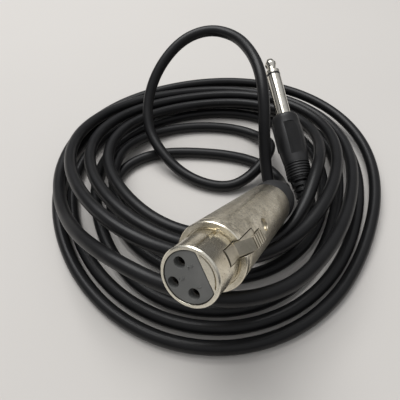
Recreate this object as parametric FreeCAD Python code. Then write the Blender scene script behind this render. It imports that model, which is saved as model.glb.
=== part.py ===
import FreeCAD, Part
import math
import os
from math import cos, sin, pi, sqrt, exp, radians, tan, acos

V = FreeCAD.Vector

# Sizes in mm. The floor is z = 0.

# The cable, seen from above: centre of its coil at x = y = 0, front at -y.
CABLE_D = 5.0
FLAT = 0.5
LAYER = 5.7

# The coil: a floor layer that winds outwards, then an upper one that winds in on top of it.
TURN_START = 0.1
TURN_END = 7.25
WIDEST_TURN = 3.5
WIDE_R = 77.4
STEP_OUT = 8.8
STEP_IN = 7.5
BLUNT = 0.15
INSET = 4.5
SHIFT_RIGHT = 1.2
LEAN = 0.13
SHIFT_UPPER = 1.0
LEAN_UPPER = 0.1
CLIMB_START = 3.3
CLIMB_TURNS = 0.45
INSET_START = 3.55
OVAL = 2.2
SKEW = 1.8
POINT = 2.6
POINT_SIDE = 1.0
ROUND_START = 0.35
ROUND_TURNS = 2.2
CREST_DEG = 345.0
CREST_SHARP = 1.3
PILE_START = 3.95
PILE_H = 16.0
RISE_H = 6.0
FALL_H = 5.5
STATIONS_PER_TURN = 8

# Where single loops leave the even spiral: turn, span in turns, outwards, upwards.
BENDS = (
    (0.385, 0.07, 0.5, 0.0),
    (1.2, 0.085, 3.4, 0.0),
    (1.32, 0.07, 1.6, 0.0),
    (2.02, 0.115, 1.4, 0.0),
    (2.15, 0.115, 2.1, 0.0),
    (2.29, 0.115, 0.9, 0.0),
    (2.43, 0.115, 0.6, 0.0),
    (3.2, 0.1, 1.8, 0.0),
    (3.4, 0.06, -1.0, 0.0),
    (4.185, 0.065, 2.0, 7.0),
    (4.27, 0.06, 5.0, 0.0),
    (5.306, 0.08, -2.8, -7.5),
    (5.52, 0.2, 0.0, 3.8),
    (6.326, 0.085, 0.95, -8.1),
    (6.45, 0.075, 0.7, 2.1),
    (6.47, 0.17, -0.9, 6.0),
)

# The socket plug: where its rear rim is, where it points, and how its latch is rolled.
XLR_REAR = (18.4, -38.2, 24.4)
XLR_HEADING = -119.9
XLR_TILT = 27.0
XLR_ROLL = 47.7

# The jack plug: where its cable exit is, where its tip points, and how its flat sides are rolled.
JACK_REAR = (38.8, -25.3, 8.8)
JACK_HEADING = 101.1
JACK_TILT = 26.0
JACK_ROLL = 90.0

# Routes of the two free stretches, by hand, between their straight ends.
XLR_EXIT_RUN = 5.0
COIL_EXIT_RUN = 6.0
JACK_EXIT_RUN = 3.0
LEAD_XLR_ROUTE = (
    (30.2, -16.6, 11.6), (30.6, -10.4, 6.2), (31.0, -3.0, 3.0), (27.5, 4.5, 2.6),
    (20.0, 11.0, 2.6), (8.0, 15.3, 2.6), (-7.0, 17.3, 2.6), (-21.0, 17.4, 2.6),
    (-32.5, 14.5, 2.6), (-40.8, 8.0, 2.6), (-44.8, -0.5, 2.6), (-45.8, -9.5, 2.6),
)
LEAD_JACK_ROUTE = (
    (14.5, -45.2, 14.0), (21.5, -40.6, 11.0), (25.4, -33.5, 9.2), (26.2, -25.2, 7.6),
    (24.0, -16.8, 10.2), (22.0, -9.9, 17.2), (20.9, -3.5, 26.5), (20.6, 5.0, 38.0),
    (19.6, 18.0, 45.8),
    (16.3, 32.0, 48.5), (10.0, 46.5, 49.0), (-2.0, 55.0, 48.0), (-15.5, 52.8, 43.5),
    (-26.8, 43.6, 33.5), (-32.2, 32.6, 21.8), (-31.0, 21.0, 13.2), (-24.5, 10.5, 8.2),
    (-15.5, 1.5, 4.0), (-4.0, -5.5, 2.8), (8.0, -7.5, 2.8), (18.0, -2.0, 5.2),
    (26.3, 7.6, 9.6), (29.0, 18.0, 7.8), (25.0, 28.5, 3.6), (15.0, 36.0, 2.6),
    (0.0, 38.8, 2.6), (-16.0, 37.6, 2.6), (-30.0, 32.0, 3.2), (-40.0, 21.5, 5.4),
    (-45.2, 8.5, 7.9), (-45.6, -7.0, 8.2), (-40.0, -22.0, 8.2), (-28.5, -33.5, 7.4),
    (-14.5, -40.5, 4.8), (0.5, -43.0, 3.0), (13.5, -43.2, 2.6), (20.5, -42.3, 2.6),
    (27.8, -39.4, 3.0), (34.0, -34.6, 4.7), (38.4, -30.8, 6.3),
)

# The socket plug's metal shell, along its own axis from the rear rim to the nose.
XLR_L = 60.9
NOSE_R = 7.95
NOSE_L = 12.0
NOSE_BORE_R = 6.95
RIM_T = 0.35
FACE_RECESS = 0.2
SLEEVE_R = 9.9
SLEEVE_EDGE = 0.3
REAR_R = 8.25
REAR_EDGE = 0.35
REAR_BORE_R = 5.9
BORE_TAPER_L = 6.0
ROOT_UNDERCUT = 0.3
ROOT_W = 0.65
ROOT_DEPTH = 0.7
KEY_W = 1.2
KEY_DEPTH = 0.35
KEY_ANGLE = 51.0
KEY_STOP = 1.4
CRESCENT_SLOT = 0.4
CRESCENT_SLOT_DEPTH = 0.8

# Its insert, sockets and small parts. Lengths along the plug are from its nose end.
INSERT_L = 35.0
INSERT_FLAT_X = 4.25
INSERT_CORNER = 1.1
INSERT_GAP = 0.25
INSERT_GAP_DEPTH = 1.2
INSERT_FLAT_PAST = 2.8
PIN_CIRCLE_R = 4.12
PIN_CIRCLE_X = -0.8
SOCKET_BORE_R = 1.22
SOCKET_OUT_R = 1.45
SOCKET_LEAD_R = 1.52
SOCKET_LEAD_L = 2.0
SOCKET_L = 37.0
SOCKET_BORE_L = 13.0
SOCKET_SLIT = 0.35
SOCKET_SLIT_L = 9.0
SOCKET_CUP_R = 0.9
SOCKET_CUP_L = 3.0
SOCKET_ROOM = 1.0
SCREW_SET = 31.0
SCREW_R = 1.4
SCREW_BITE = 1.0
SCREW_SUNK = 1.0
SCREW_MOUTH = 0.5
SCREW_SLOT = 0.5
SCREW_SLOT_DEPTH = 0.7
TAG_W = 1.8
TAG_T = 0.5
TAG_FOOT = 2.0

# Its latch: a sprung lever that turns at its nose end.
LATCH_SET = 6.55
LATCH_W = 4.0
LATCH_SIDE_GAP = 0.25
LATCH_END_GAP = 0.45
HOOK_UNDER = 5.7
HOOK_L = 5.2
HOOK_PROUD = 0.2
BASE_UNDER = 6.1
BASE_T = 1.2
BASE_L = 9.6
RAMP_L = 6.3
BUTTON_L = 7.3
BUTTON_W = 3.5
BUTTON_SHIFT = -1.35
BUTTON_PROUD = 0.85
RIB_COUNT = 5
RIB_H = 0.45
SPRING_T = 0.35
SPRING_W = 3.0
SPRING_L = 10.0
SPRING_PAST_HOOK = 2.0
SPRING_TOP_GAP = 0.7
SPRING_FLAT_L = 2.2
PIVOT_X = 6.45
PIVOT_SET = 1.2
PIVOT_R = 0.5
PIVOT_GAP = 0.05
PIVOT_BITE = 1.2

# Its cable clamp and boot.
CLAMP_ROOM = 0.4
CLAMP_END_GAP = 1.0
CLAMP_SLIT = 0.8
CLAMP_NECK_FROM = 3.0
CLAMP_NECK_L = 1.2
CLAMP_NECK_DEPTH = 0.8
BOOT_L = 14.4
BOOT_PLUG_L = 4.2
BOOT_R = 8.2
BOOT_SWELL_L = 9.4
BOOT_END_R = 3.4
BOOT_GAP = 0.05
CORE_SPREAD_L = 9.0
CORE_START_L = 2.5
CORE_D = 1.3
SHIELD_D = 1.1

# The jack plug, along its own axis from the cable exit to the tip.
JACK_L = 73.0
SHAFT_R = 3.175
SHAFT_L = 30.4
TIP_NECK_R = 2.0
TIP_BALL_R = 2.55
TIP_L = 8.5
TIP_FLANGE_FRONT = 7.0
RING_L = 1.1
ROD_R = 1.2
TUBE_R = 1.85
SHOULDER_R = 4.0
SHOULDER_L = 0.4
SHOULDER_SEAT = 0.6
NECK_R = 2.6
NECK_L = 7.0
HANDLE_W = 12.4
HANDLE_T = 10.8
HANDLE_FRONT_W = 11.1
HANDLE_FRONT_T = 10.2
RINGS_R = 5.35
RINGS_ROOT_R = 4.9
RINGS_COUNT = 6
RINGS_FROM = 12.8
RINGS_TO = 20.0
RELIEF_R = 4.4
RELIEF_END_R = 3.5
RELIEF_WALL = 0.5
RELIEF_SLOTS = 5
RELIEF_SLOT_W = 1.1
CAVITY_R = 4.1
CORE_ROOM = 12.2
SWELL_L = 7.2
TAPER_L = 2.4
FRONT_EDGE = 0.4
PANEL_W = 6.4
PANEL_DEPTH = 0.35
PANEL_L = 14.7
PANEL_SET = 4.4
RIDGE_W = 1.6
RIDGE_H = 0.5
RIDGE_L = 12.4
RIDGE_SET = 4.4
RIDGE_CHAMFER = 0.4
LUG_SET = 1.8
LUG_COLLAR_L = 1.2
LUG_T = 0.5
LUG_W = 3.0
CRIMP_L = 3.0
CRIMP_GAP = 0.4
CRIMP_WALL = 0.45
WASHER_T = 1.2
WASHER_RIM = 0.2
WIRE_BEND_L = 5.0
WIRE_START_L = 1.8
TAIL_SHORT = 3.2

# Where a turned solid's seam lies, clear of its slots and holes.
SEAM_DEG = 137.0


def ease(t):
    t = min(1.0, max(0.0, t))
    return t * t * (3 - 2 * t)


def bell(tau, centre, span):
    return exp(-((tau - centre) / span) ** 2)


def coil_point(tau):
    """Centre of the wound cable after tau turns from the coil's inner start, at its left."""
    a = 1.5 * pi + 2 * pi * tau
    past = tau - WIDEST_TURN
    step = STEP_OUT if past < 0 else STEP_IN
    mean = WIDE_R - step * (sqrt(past * past + BLUNT ** 2) - BLUNT)
    up = ease((tau - CLIMB_START) / CLIMB_TURNS)
    shape = OVAL * cos(2 * a) - SKEW * sin(2 * a) + POINT * cos(3 * a) + POINT_SIDE * sin(3 * a)
    past_widest = ease((tau - INSET_START) / CLIMB_TURNS)
    r = mean - INSET * past_widest + shape * ease(ROUND_START + tau / ROUND_TURNS)
    r += (1 - past_widest) * (SHIFT_RIGHT * sin(a) + LEAN * (WIDE_R - mean) * cos(a))
    r -= past_widest * (SHIFT_UPPER * sin(a) + LEAN_UPPER * (WIDE_R - mean) * cos(a))
    pile = PILE_H * ease((tau - PILE_START) / 0.25) + RISE_H * ease((tau - 4.3) / 0.6)
    pile -= FALL_H * max(0.0, tau - 5.2)
    z = CABLE_D / 2 - FLAT * ease((tau - TURN_START) / 0.12) + LAYER * up
    z += pile * ((1 + cos(a - radians(CREST_DEG))) / 2) ** CREST_SHARP
    for turn, span, out, rise in BENDS:
        share = bell(tau, turn, span)
        r += out * share
        z += rise * share
    return V(r * sin(a), -r * cos(a), z)


def coil_heading(tau):
    step = 1e-4
    low = max(TURN_START, tau - step)
    high = min(TURN_END, tau + step)
    return (coil_point(high) - coil_point(low)).normalize()


def axes_of(heading, tilt, roll=0.0):
    """Own axes of a plug: z to its nose, x to the side that the roll turns up."""
    h = radians(heading)
    t = radians(tilt)
    nose = V(cos(t) * cos(h), cos(t) * sin(h), sin(t))
    side = V(sin(h), -cos(h), 0)
    top = V(-sin(t) * cos(h), -sin(t) * sin(h), cos(t))
    x = top * cos(radians(roll)) - side * sin(radians(roll))
    return x, nose.cross(x), nose


def placed(shape, origin, axes):
    x, y, z = axes
    m = FreeCAD.Matrix(x.x, y.x, z.x, origin[0], x.y, y.y, z.y, origin[1],
                       x.z, y.z, z.z, origin[2], 0, 0, 0, 1)
    moved = shape.copy()
    moved.Placement = FreeCAD.Placement(m)
    return moved


def local_to_world(p, origin, axes):
    x, y, z = axes
    return V(*origin) + x * p[0] + y * p[1] + z * p[2]


def turned(points):
    """Solid of revolution about z from (radius, z) points."""
    c = cos(radians(SEAM_DEG))
    s = sin(radians(SEAM_DEG))
    ring = [V(r * c, r * s, z) for r, z in points]
    face = Part.Face(Part.makePolygon(ring + [ring[0]]))
    return face.revolve(V(0, 0, 0), V(0, 0, 1), 360)


def cylinder(r, z0, z1, x=0.0, y=0.0):
    return Part.makeCylinder(r, z1 - z0, V(x, y, z0))


def block(x0, x1, y0, y1, z0, z1):
    return Part.makeBox(x1 - x0, y1 - y0, z1 - z0, V(x0, y0, z0))


def sheet(points, width):
    """Prism across y, centred, from (x, z) points."""
    ring = [V(x, -width / 2, z) for x, z in points]
    face = Part.Face(Part.makePolygon(ring + [ring[0]]))
    return face.extrude(V(0, width, 0))


def arc_edge(p0, corner, p1):
    """Arc from p0 to p1 that is tangent to the lines through the corner, or a line."""
    chord = p1 - p0
    middle = (p0 + p1) * 0.5
    reach = corner - middle
    if reach.Length < 1e-7 * chord.Length:
        return Part.LineSegment(p0, p1).toShape(), 1e9
    half = math.atan2(reach.Length, chord.Length / 2)
    r = chord.Length / 2 / sin(half)
    top = middle + reach * (r * (1 - cos(half)) / reach.Length)
    return Part.Arc(p0, top, p1).toShape(), r


def biarc(p0, t0, p1, t1):
    v = p1 - p0
    t = t0 + t1
    a = 2 * (1 - t0.dot(t1))
    b = v.dot(t)
    d = v.dot(v) / (2 * b) if a < 1e-9 else (-b + sqrt(b * b + a * v.dot(v))) / a
    q0 = p0 + t0 * d
    q1 = p1 - t1 * d
    pm = (q0 + q1) * 0.5
    return arc_edge(p0, q0, pm), arc_edge(pm, q1, p1)


def coil_ends():
    first = coil_point(TURN_START) - coil_heading(TURN_START) * CABLE_D
    last = coil_point(TURN_END) + coil_heading(TURN_END) * CABLE_D
    return first, last


def coil_wire():
    """Arcs through points of the spiral, with a straight end a cable wide at each end."""
    turns = TURN_END - TURN_START
    n = int(round(turns * STATIONS_PER_TURN))
    taus = [TURN_START + turns * i / n for i in range(n + 1)]
    first, last = coil_ends()
    edges = [Part.LineSegment(first, coil_point(TURN_START)).toShape()]
    radii = []
    for ta, tb in zip(taus, taus[1:]):
        for edge, r in biarc(coil_point(ta), coil_heading(ta), coil_point(tb), coil_heading(tb)):
            edges.append(edge)
            radii.append(r)
    edges.append(Part.LineSegment(coil_point(TURN_END), last).toShape())
    return Part.Wire(edges), radii


def lead_wire(points):
    """Straight runs joined by tangent arcs."""
    pts = [V(*p) for p in points]
    edges = []
    radii = []
    here = pts[0]
    for a, b, c in zip(pts, pts[1:], pts[2:]):
        u = (b - a).normalize()
        w = (c - b).normalize()
        half = acos(max(-1.0, min(1.0, u.dot(w)))) / 2
        cut = 0.45 * min((b - a).Length, (c - b).Length)
        radii.append(cut / tan(half))
        p0 = b - u * cut
        p1 = b + w * cut
        edges.append(Part.LineSegment(here, p0).toShape())
        edges.append(arc_edge(p0, b, p1)[0])
        here = p1
    edges.append(Part.LineSegment(here, pts[-1]).toShape())
    return Part.Wire(edges), radii


def tube(wire, diameter, start, heading):
    ring = Part.Wire(Part.makeCircle(diameter / 2, start, heading))
    return wire.makePipeShell([ring], True, False)


def sample(wire, pitch):
    points = []
    for edge in wire.OrderedEdges:
        count = max(2, int(edge.Length / pitch) + 1)
        points += edge.discretize(Number=count)[:-1]
    return points


def own_gap(points, diameter, apart):
    """Least gap of a tube to itself, between points that are more than apart along it."""
    run = [0.0]
    for a, b in zip(points, points[1:]):
        run.append(run[-1] + (b - a).Length)
    best = (1e9, None)
    for i, p in enumerate(points):
        for j in range(i + 1, len(points)):
            if run[j] - run[i] > apart:
                d = (points[j] - p).Length - diameter
                if d < best[0]:
                    best = (d, p)
    return best


def gap_between(a, b, da, db):
    best = (1e9, None)
    for p in a:
        for q in b:
            d = (p - q).Length - (da + db) / 2
            if d < best[0]:
                best = (d, p)
    return best


# Socket plug.

LIP = XLR_L - NOSE_L
FACE = XLR_L - FACE_RECESS
INSERT_REAR = XLR_L - INSERT_L
SOCKET_FRONT = FACE - SOCKET_LEAD_L
SOCKET_REAR = SOCKET_FRONT - SOCKET_L
BORE_STEP = SOCKET_REAR - SOCKET_ROOM
SCREW_Z = XLR_L - SCREW_SET
LATCH_FRONT = XLR_L - LATCH_SET
HOOK_REAR = LATCH_FRONT - HOOK_L
BASE_REAR = HOOK_REAR - BASE_L
BUTTON_FRONT = HOOK_REAR - RAMP_L
BUTTON_REAR = BUTTON_FRONT - BUTTON_L
INSERT_FLAT_FROM = BUTTON_REAR - INSERT_FLAT_PAST
PIVOT_Z = LATCH_FRONT - PIVOT_SET
JACKET_STOP = SOCKET_REAR - CORE_SPREAD_L


def sleeve_at(z):
    return REAR_R + (SLEEVE_R - REAR_R) * z / LIP


def d_bar(r, flat, corner, z0, z1):
    """Round bar with a flat on the latch's side, its two corners rounded."""
    bar = cylinder(r, z0, z1).cut(block(flat, r + 1, -r - 1, r + 1, z0 - 1, z1 + 1))
    sharp = [e for e in bar.Edges if e.BoundBox.XMin > flat - 1e-3 and e.BoundBox.ZLength > 0.5 * (z1 - z0)]
    return bar.makeFillet(corner, sharp)


def latch_plan(side, end, under, top):
    """Prism over the latch's outline, seen from outside, grown by a gap at its sides and ends."""
    half = LATCH_W / 2 + side
    low = BUTTON_SHIFT - BUTTON_W / 2 - side
    high = BUTTON_SHIFT + BUTTON_W / 2 + side
    ring = [V(under, -half, LATCH_FRONT + end), V(under, half, LATCH_FRONT + end),
            V(under, half, BASE_REAR - end), V(under, high, BASE_REAR - end),
            V(under, high, BUTTON_REAR - end), V(under, low, BUTTON_REAR - end),
            V(under, low, BUTTON_FRONT), V(under, -half, HOOK_REAR)]
    return Part.Face(Part.makePolygon(ring + ring[:1])).extrude(V(top - under, 0, 0))


def xlr_shell():
    inner = NOSE_R - ROOT_UNDERCUT
    outer = inner + ROOT_W
    body = turned([
        (REAR_BORE_R, 0), (REAR_R - REAR_EDGE, 0), (REAR_R, REAR_EDGE),
        (SLEEVE_R, LIP - SLEEVE_EDGE), (SLEEVE_R - SLEEVE_EDGE, LIP), (outer, LIP),
        (outer, LIP - ROOT_DEPTH), (inner, LIP - ROOT_DEPTH), (inner, LIP),
        (NOSE_R, LIP + ROOT_UNDERCUT), (NOSE_R, XLR_L - RIM_T), (NOSE_R - RIM_T, XLR_L),
        (NOSE_BORE_R, XLR_L), (NOSE_BORE_R, BORE_STEP), (REAR_BORE_R, BORE_STEP - BORE_TAPER_L)])
    wall = (NOSE_BORE_R + inner) / 2
    crescent = cylinder(wall, LIP - ROOT_DEPTH - 0.5, FACE)
    crescent = crescent.common(block(0, NOSE_R, -NOSE_R, NOSE_R, 0, XLR_L))
    room = d_bar(NOSE_BORE_R, INSERT_FLAT_X + INSERT_GAP, INSERT_CORNER, LIP - 3, XLR_L + 1)
    body = body.fuse(crescent.cut(room)).removeSplitter()
    groove = cylinder(NOSE_BORE_R, FACE - CRESCENT_SLOT_DEPTH, XLR_L + 1)
    groove = groove.cut(cylinder(NOSE_BORE_R - CRESCENT_SLOT, 0, XLR_L + 2))
    edge = INSERT_FLAT_X + INSERT_GAP + 0.6
    groove = groove.common(block(edge, NOSE_R, -NOSE_R, NOSE_R, 0, XLR_L + 2))
    key = block(NOSE_R - KEY_DEPTH, outer + KEY_DEPTH, -KEY_W / 2, KEY_W / 2, LIP - ROOT_DEPTH,
                XLR_L - KEY_STOP)
    key.rotate(V(0, 0, 0), V(0, 0, 1), KEY_ANGLE)
    window = latch_plan(LATCH_SIDE_GAP, LATCH_END_GAP, INSERT_FLAT_X + INSERT_GAP / 2, 2 * SLEEVE_R)
    top = screw_top()
    hole = Part.makeCylinder(SCREW_R, SLEEVE_R, V(0, 0, SCREW_Z), V(1, 0, 0))
    mouth = Part.makeCylinder(SCREW_R + SCREW_MOUTH, SLEEVE_R, V(top, 0, SCREW_Z), V(1, 0, 0))
    return body.cut([groove, key, window, hole, mouth, xlr_latch_pin()])


def screw_top():
    return sleeve_at(SCREW_Z) - SCREW_SUNK


def socket_places():
    """Sockets 1 and 2 are across from each other, and 3 is between them, away from the latch."""
    places = []
    for angle in (-90, 90, 180):
        a = radians(angle)
        places.append((PIN_CIRCLE_X + PIN_CIRCLE_R * cos(a), PIN_CIRCLE_R * sin(a)))
    return places


def xlr_insert():
    neck = FACE - INSERT_GAP_DEPTH
    body = cylinder(NOSE_BORE_R, INSERT_REAR, INSERT_FLAT_FROM)
    front = d_bar(NOSE_BORE_R, INSERT_FLAT_X, INSERT_CORNER, INSERT_FLAT_FROM, neck)
    rim = d_bar(NOSE_BORE_R - INSERT_GAP, INSERT_FLAT_X, INSERT_CORNER - INSERT_GAP, neck, FACE)
    body = body.fuse([front, rim]).removeSplitter()
    cuts = []
    for x, y in socket_places():
        cuts.append(cylinder(SOCKET_OUT_R, INSERT_REAR - 1, SOCKET_FRONT, x, y))
        cuts.append(cylinder(SOCKET_LEAD_R, SOCKET_FRONT, FACE + 1, x, y))
    start = NOSE_BORE_R - SCREW_BITE
    cuts.append(Part.makeCylinder(SCREW_R, NOSE_R, V(start, 0, SCREW_Z), V(1, 0, 0)))
    return body.cut(cuts)


def xlr_contact(index):
    x, y = socket_places()[index]
    body = cylinder(SOCKET_OUT_R, SOCKET_REAR, SOCKET_FRONT, x, y)
    bore = cylinder(SOCKET_BORE_R, SOCKET_FRONT - SOCKET_BORE_L, SOCKET_FRONT + 1, x, y)
    cup = cylinder(SOCKET_CUP_R, SOCKET_REAR - 1, SOCKET_REAR + SOCKET_CUP_L, x, y)
    slit = block(x - SOCKET_OUT_R - 1, x, y - SOCKET_SLIT / 2, y + SOCKET_SLIT / 2,
                 SOCKET_FRONT - SOCKET_SLIT_L, SOCKET_FRONT + 1)
    return body.cut([bore, cup, slit])


def rectangle(x0, x1, y0, y1, z):
    corners = [V(x0, y0, z), V(x1, y0, z), V(x1, y1, z), V(x0, y1, z), V(x0, y0, z)]
    return Part.makePolygon(corners)


def xlr_latch():
    """Hook at the nose end, a ramp, and a ribbed button a little to one side."""
    half = LATCH_W / 2
    low = BUTTON_SHIFT - BUTTON_W / 2
    high = BUTTON_SHIFT + BUTTON_W / 2
    base_top = BASE_UNDER + BASE_T
    top = sleeve_at(BUTTON_REAR) + BUTTON_PROUD
    hook = block(HOOK_UNDER, NOSE_R + 1, -half, half, HOOK_REAR, LATCH_FRONT)
    hook = hook.common(cylinder(NOSE_R + HOOK_PROUD, 0, XLR_L))
    base = latch_plan(0, 0, BASE_UNDER, base_top)
    ramp = Part.makeLoft([rectangle(BASE_UNDER, base_top, -half, half, HOOK_REAR),
                          rectangle(BASE_UNDER, top, low, high, BUTTON_FRONT)], True, True)
    button = block(BASE_UNDER, top, low, high, BUTTON_REAR, BUTTON_FRONT)
    step = HOOK_REAR - LATCH_END_GAP
    ring = [V(BASE_UNDER, half, step), V(BASE_UNDER, half, BASE_REAR),
            V(BASE_UNDER, high, BASE_REAR), V(BASE_UNDER, high, BUTTON_FRONT),
            V(BASE_UNDER, half - LATCH_SIDE_GAP, step)]
    wing = Part.Face(Part.makePolygon(ring + ring[:1])).extrude(V(SLEEVE_R, 0, 0))
    wing = wing.common(turned([(0, 0), (REAR_R, 0), (SLEEVE_R, LIP), (0, LIP)]))
    body = hook.fuse([base, ramp, button, wing]).removeSplitter()
    pitch = BUTTON_L / RIB_COUNT
    grooves = []
    for i in range(RIB_COUNT):
        z = BUTTON_REAR + pitch * i
        grooves.append(block(top - RIB_H, top + 1, low - 1, high + 1, z + 0.6 * pitch, z + pitch))
    return body.cut(grooves + [pivot_bar(PIVOT_R + PIVOT_GAP, half + 1)])


def pivot_bar(r, half_length):
    return Part.makeCylinder(r, 2 * half_length, V(PIVOT_X, -half_length, PIVOT_Z), V(0, 1, 0))


def xlr_latch_pin():
    return pivot_bar(PIVOT_R, LATCH_W / 2 + LATCH_SIDE_GAP + PIVOT_BITE)


def xlr_latch_spring():
    """Leaf that lies on the insert's flat at the rear and rises under the latch's hook."""
    top = HOOK_UNDER - SPRING_TOP_GAP
    low = INSERT_FLAT_X
    front = HOOK_REAR + SPRING_PAST_HOOK
    rear = front - SPRING_L
    bend = rear + SPRING_FLAT_L
    crest = front - SPRING_FLAT_L
    return sheet([(low, rear), (low, bend), (top - SPRING_T, crest), (top - SPRING_T, front),
                  (top, front), (top, crest - 0.1), (low + SPRING_T, bend - 0.1),
                  (low + SPRING_T, rear)], SPRING_W)


def xlr_insert_screw():
    start = NOSE_BORE_R - SCREW_BITE
    top = screw_top()
    body = Part.makeCylinder(SCREW_R, top - start, V(start, 0, SCREW_Z), V(1, 0, 0))
    slot = block(top - SCREW_SLOT_DEPTH, top + 1, -SCREW_R - 1, SCREW_R + 1,
                 SCREW_Z - SCREW_SLOT / 2, SCREW_Z + SCREW_SLOT / 2)
    return body.cut(slot)


def rear_bore_at(z):
    share = (z - BORE_STEP + BORE_TAPER_L) / BORE_TAPER_L
    return REAR_BORE_R + (NOSE_BORE_R - REAR_BORE_R) * max(0.0, min(1.0, share))


def xlr_ground_tag():
    """Strip from socket 1 along the rear of the insert to the shell's wall."""
    x, y = socket_places()[0]
    z1 = INSERT_REAR
    z0 = z1 - TAG_T
    wall = rear_bore_at(z0 - TAG_FOOT)
    strip = block(x - TAG_W / 2, x + TAG_W / 2, -wall - 1, y, z0, z1)
    foot = block(x - TAG_W / 2, x + TAG_W / 2, -wall - 1, TAG_T - wall, z0 - TAG_FOOT, z1)
    round_bar = cylinder(wall - 0.05, z0 - 3, z1 + 1)
    return strip.fuse(foot).removeSplitter().common(round_bar).cut(
        cylinder(SOCKET_OUT_R, z0 - 3, z1 + 1, x, y))


def xlr_cable_clamp():
    start = BOOT_PLUG_L + CLAMP_ROOM
    end = JACKET_STOP - CLAMP_END_GAP
    body = cylinder(REAR_BORE_R, start, end)
    body = body.cut(cylinder(CABLE_D / 2, start - 1, end + 1))
    slit = block(0, REAR_BORE_R + 1, -CLAMP_SLIT / 2, CLAMP_SLIT / 2, start - 1, end + 1)
    neck = cylinder(REAR_BORE_R + 1, start + CLAMP_NECK_FROM, start + CLAMP_NECK_FROM + CLAMP_NECK_L)
    neck = neck.cut(cylinder(REAR_BORE_R - CLAMP_NECK_DEPTH, 0, end + 1))
    return body.cut([slit, neck])


def xlr_boot():
    """Rubber dome behind the rear rim, with a plug in the shell's bore."""
    b = CABLE_D / 2
    rise = BOOT_R - BOOT_END_R
    return turned([(b, -BOOT_L), (BOOT_END_R, -BOOT_L),
                   (BOOT_END_R + 0.40 * rise, -BOOT_L + 0.06 * BOOT_SWELL_L),
                   (BOOT_END_R + 0.74 * rise, -BOOT_L + 0.24 * BOOT_SWELL_L),
                   (BOOT_END_R + 0.93 * rise, -BOOT_L + 0.53 * BOOT_SWELL_L),
                   (BOOT_R, -BOOT_L + BOOT_SWELL_L), (BOOT_R - 2 * BOOT_GAP, -BOOT_GAP),
                   (REAR_BORE_R, -BOOT_GAP), (REAR_BORE_R, BOOT_PLUG_L), (b, BOOT_PLUG_L)])


def core_wire(points, diameter):
    wire, _ = lead_wire(points)
    start = V(*points[0])
    return tube(wire, diameter, start, V(*points[1]) - start)


def xlr_core(index, jacket_y):
    """Insulated core, or twisted shield, from the jacket's end into a socket's solder cup."""
    x, y = socket_places()[index]
    d = SHIELD_D if index == 0 else CORE_D
    end = SOCKET_REAR + SOCKET_CUP_L - 0.4
    jx, jy = jacket_y
    return core_wire([(jx, jy, JACKET_STOP), (jx, jy, JACKET_STOP + CORE_START_L),
                      (x, y, SOCKET_REAR - CORE_START_L), (x, y, end)], d)


# Jack plug.

SEAM = JACK_L - SHAFT_L
NECK_REAR = SEAM - NECK_L
JACKET_IN = NECK_REAR - CORE_ROOM


def jack_tip():
    z0 = JACK_L - TIP_L
    rear = NECK_REAR - WASHER_T - 1.0
    return turned([(0, JACK_L), (0.9, JACK_L - 0.15), (1.6, JACK_L - 0.8), (TIP_BALL_R, JACK_L - 2.5),
                   (TIP_BALL_R, JACK_L - 3.2), (TIP_NECK_R, JACK_L - 5.0),
                   (TIP_NECK_R, JACK_L - 5.6), (SHAFT_R, JACK_L - TIP_FLANGE_FRONT), (SHAFT_R, z0),
                   (ROD_R, z0), (ROD_R, rear), (0, rear)])


def jack_insulator():
    z1 = JACK_L - TIP_L
    return turned([(ROD_R, z1), (SHAFT_R, z1), (SHAFT_R, z1 - RING_L), (TUBE_R, z1 - RING_L),
                   (TUBE_R, NECK_REAR), (ROD_R, NECK_REAR)])


def jack_sleeve():
    z1 = JACK_L - TIP_L - RING_L
    return turned([(TUBE_R, z1), (SHAFT_R, z1), (SHAFT_R, SEAM + SHOULDER_L),
                   (SHOULDER_R, SEAM + SHOULDER_L), (SHOULDER_R, SEAM - SHOULDER_SEAT),
                   (NECK_R, SEAM - SHOULDER_SEAT), (NECK_R, NECK_REAR), (TUBE_R, NECK_REAR)])


def jack_rear_washer():
    washer = cylinder(NECK_R + WASHER_RIM, NECK_REAR - WASHER_T, NECK_REAR)
    return washer.cut(cylinder(ROD_R, NECK_REAR - WASHER_T - 1, NECK_REAR + 1))


def jack_tip_lug():
    z = NECK_REAR - WASHER_T
    plate = cylinder(TUBE_R + 0.3, z - LUG_T, z)
    tongue = block(-0.9, 0.9, -LUG_T / 2 - ROD_R - 0.4, -ROD_R, z - 4.0, z)
    return plate.fuse(tongue).removeSplitter().cut(cylinder(ROD_R, z - 6, z + 1))


def jack_sleeve_lug():
    """Collar on the sleeve's neck, a strip rearwards and a crimp round the jacket."""
    z1 = SEAM - LUG_SET
    z0 = JACKET_IN - CRIMP_L
    reach = NECK_R + CRIMP_WALL
    collar = cylinder(reach, z1 - LUG_COLLAR_L, z1).cut(cylinder(NECK_R, z1 - 2, z1 + 1))
    strip = block(-LUG_W / 2, LUG_W / 2, reach - 0.15, reach + LUG_T, z0, z1)
    crimp = cylinder(CABLE_D / 2 + CRIMP_WALL, z0, z0 + CRIMP_L)
    crimp = crimp.cut(cylinder(CABLE_D / 2, z0 - 1, z0 + CRIMP_L + 1))
    crimp = crimp.cut(block(-0.6, 0.6, -CABLE_D, 0, z0 - 1, z0 + CRIMP_L + 1))
    lug = collar.fuse([strip, crimp]).removeSplitter()
    return lug.cut([cylinder(NECK_R, z1 - 2, z1 + 1), cylinder(CABLE_D / 2, z0 - 1, z0 + CRIMP_L)])


def oval_ring(width, thick, z):
    e = Part.Ellipse(V(0, 0, z), width / 2, thick / 2)
    return Part.Wire(e.toShape())


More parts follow.
